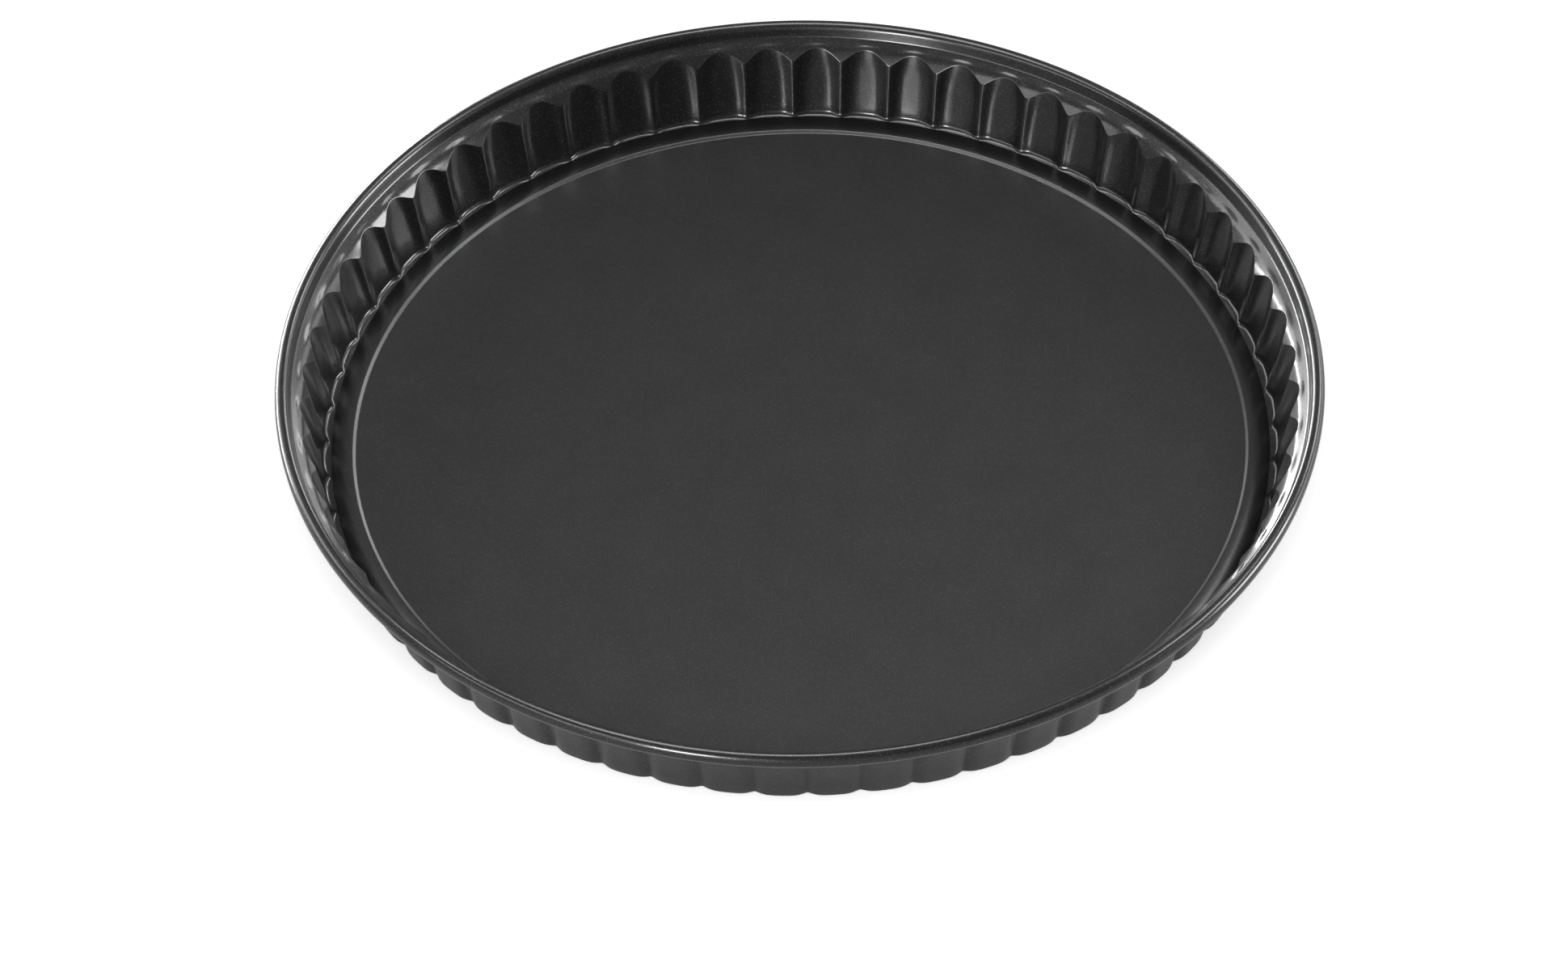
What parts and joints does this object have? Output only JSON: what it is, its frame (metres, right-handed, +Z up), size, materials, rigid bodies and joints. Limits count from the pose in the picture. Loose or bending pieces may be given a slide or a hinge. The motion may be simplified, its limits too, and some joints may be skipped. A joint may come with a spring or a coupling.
{
  "type": "tart pan",
  "caption": "Round fluted tart pan with a rolled rim, a smooth collar, a sloping shoulder, a fluted wall and a loose base that lifts out of the ring.",
  "frame": {"origin": "middle of the foot, on the surface that the pan stands on", "axes": "+Z up along the pan's axis, towards the rim; +X and +Y lie in the foot's plane, with -Y to the front and a rib on +X"},
  "size_m": [0.3, 0.3, 0.029],
  "materials": {
    "ring_coating": "satin charcoal non-stick coating with fine light speckle on sheet steel",
    "base_coating": "satin charcoal non-stick coating with fine light speckle on sheet steel",
    "wire_steel": "drawn bright steel wire"
  },
  "bodies": {
    "ring": {"fluted_ring": "ring_coating", "rim_wire": "wire_steel"},
    "base": {"loose_base": "base_coating"}
  },
  "joints": [
    {"name": "base_lift", "type": "slide", "parent": "ring", "child": "base", "axis": [0, 0, 1], "range_m": [0, 0.06]}
  ]
}
